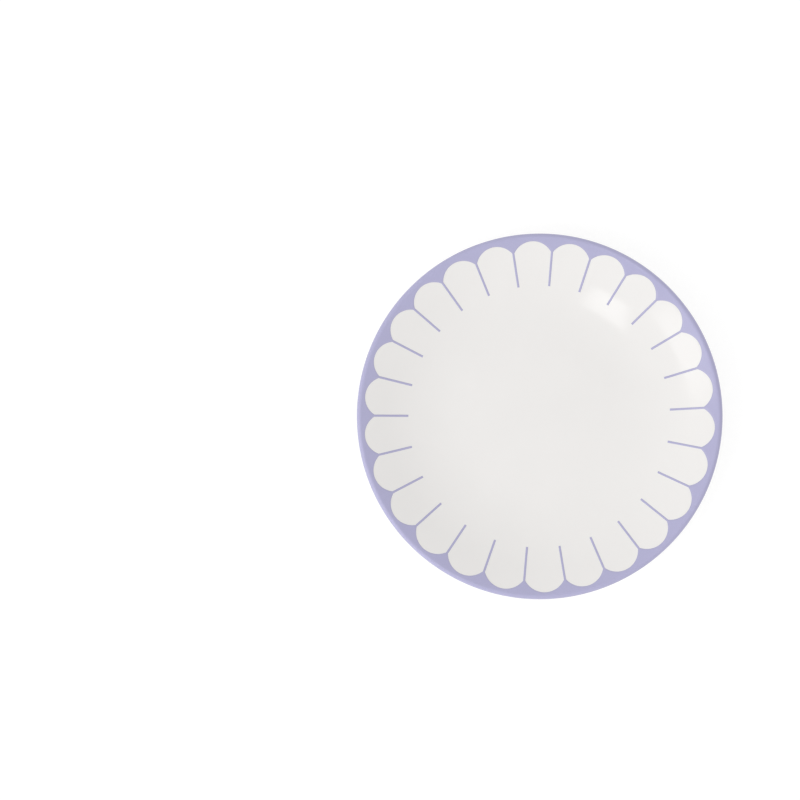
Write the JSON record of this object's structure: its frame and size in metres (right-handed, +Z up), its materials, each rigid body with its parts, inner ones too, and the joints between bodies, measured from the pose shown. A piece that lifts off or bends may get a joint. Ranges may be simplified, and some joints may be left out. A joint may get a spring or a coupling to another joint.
{
  "type": "dessert plate",
  "caption": "Round coupe dessert plate in glazed white porcelain on a foot ring, with a lavender scalloped petal border printed round the rim.",
  "frame": {"origin": "centre of the foot ring, on the table that the plate stands on", "axes": "+Z up out of the well, along the axis the plate is turned round; +X to the picture's right, +Y to its top"},
  "size_m": [0.21, 0.21, 0.02],
  "materials": {
    "bisque_porcelain": "matte",
    "clear_glaze": "gloss",
    "ceramic_ink": "gloss"
  },
  "bodies": {
    "root": {"plate_body": "bisque_porcelain", "outer_glaze": "clear_glaze", "recess_glaze": "clear_glaze", "printed_border": "ceramic_ink"}
  },
  "joints": []
}
